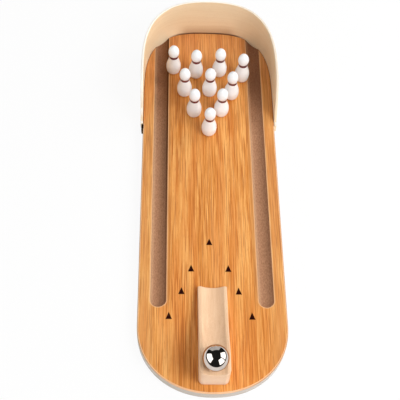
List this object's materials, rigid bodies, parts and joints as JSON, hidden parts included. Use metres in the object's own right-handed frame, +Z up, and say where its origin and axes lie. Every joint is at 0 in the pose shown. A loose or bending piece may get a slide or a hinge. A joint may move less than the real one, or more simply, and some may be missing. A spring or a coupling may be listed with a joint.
{
  "type": "tabletop bowling game",
  "caption": "Tabletop bowling game: grooved wooden lane with rounded ends, a bent wooden fence round the back, small pins, and a steel ball on a launching ramp.",
  "frame": {"origin": "middle of the overall footprint, on the surface that the game stands on", "axes": "+Z up, +Y along the lane from the ramp to the pins, +X to the right of a player who looks along the lane"},
  "size_m": [0.0996, 0.2942, 0.0411],
  "materials": {
    "board": "orange wood-grain print under satin varnish on top, bare fibreboard in the gutters, pale edge",
    "fence": "smooth bent beech veneer, satin varnish",
    "screw": "black, satin",
    "ramp": "pale smooth wood, matt varnish",
    "ball": "polished steel",
    "pins": "turned wood under glossy white paint, one thin dark red ring round the neck"
  },
  "bodies": {
    "base": {"board": "board", "fence": "fence", "fence_screw": "screw"},
    "ramp": {"ramp": "ramp"},
    "ball": {"ball": "ball"},
    "pin_01": {"pin_01": "pins"},
    "pin_02": {"pin_02": "pins"},
    "pin_03": {"pin_03": "pins"},
    "pin_04": {"pin_04": "pins"},
    "pin_05": {"pin_05": "pins"},
    "pin_06": {"pin_06": "pins"},
    "pin_07": {"pin_07": "pins"},
    "pin_08": {"pin_08": "pins"},
    "pin_09": {"pin_09": "pins"},
    "pin_10": {"pin_10": "pins"}
  },
  "joints": [
    {"name": "ramp_lift", "type": "slide", "parent": "base", "child": "ramp", "axis": [0, 0, 1], "range_m": [0, 0.06]},
    {"name": "ball_lift", "type": "slide", "parent": "ramp", "child": "ball", "axis": [0, 0, 1], "range_m": [0, 0.06]},
    {"name": "pin_01_lift", "type": "slide", "parent": "base", "child": "pin_01", "axis": [0, 0, 1], "range_m": [0, 0.06]},
    {"name": "pin_02_lift", "type": "slide", "parent": "base", "child": "pin_02", "axis": [0, 0, 1], "range_m": [0, 0.06]},
    {"name": "pin_03_lift", "type": "slide", "parent": "base", "child": "pin_03", "axis": [0, 0, 1], "range_m": [0, 0.06]},
    {"name": "pin_04_lift", "type": "slide", "parent": "base", "child": "pin_04", "axis": [0, 0, 1], "range_m": [0, 0.06]},
    {"name": "pin_05_lift", "type": "slide", "parent": "base", "child": "pin_05", "axis": [0, 0, 1], "range_m": [0, 0.06]},
    {"name": "pin_06_lift", "type": "slide", "parent": "base", "child": "pin_06", "axis": [0, 0, 1], "range_m": [0, 0.06]},
    {"name": "pin_07_lift", "type": "slide", "parent": "base", "child": "pin_07", "axis": [0, 0, 1], "range_m": [0, 0.06]},
    {"name": "pin_08_lift", "type": "slide", "parent": "base", "child": "pin_08", "axis": [0, 0, 1], "range_m": [0, 0.06]},
    {"name": "pin_09_lift", "type": "slide", "parent": "base", "child": "pin_09", "axis": [0, 0, 1], "range_m": [0, 0.06]},
    {"name": "pin_10_lift", "type": "slide", "parent": "base", "child": "pin_10", "axis": [0, 0, 1], "range_m": [0, 0.06]}
  ]
}
